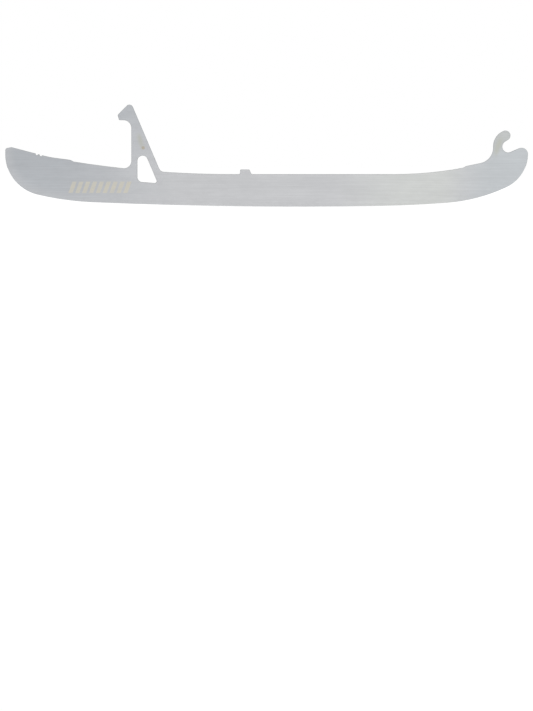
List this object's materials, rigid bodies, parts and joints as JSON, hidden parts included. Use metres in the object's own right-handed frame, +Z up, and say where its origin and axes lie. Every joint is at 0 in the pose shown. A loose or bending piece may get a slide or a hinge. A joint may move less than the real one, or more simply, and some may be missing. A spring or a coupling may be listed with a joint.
{
  "type": "ice hockey skate blade",
  "caption": "Stainless steel hockey skate runner: flat plate with a curved hollow-ground edge, a hook for the holder's front pin and a tab with a lip for its rear latch.",
  "frame": {"origin": "on the plate's middle plane, at the lowest point of the skating edge, midway between heel end and toe end", "axes": "+X towards the toe, +Y across the thickness, +Z up from the ice"},
  "size_m": [0.282, 0.0028, 0.0549],
  "materials": {
    "stainless_steel": "satin, with a fine grain along the blade"
  },
  "bodies": {
    "root": {"runner": "stainless_steel"}
  },
  "joints": []
}
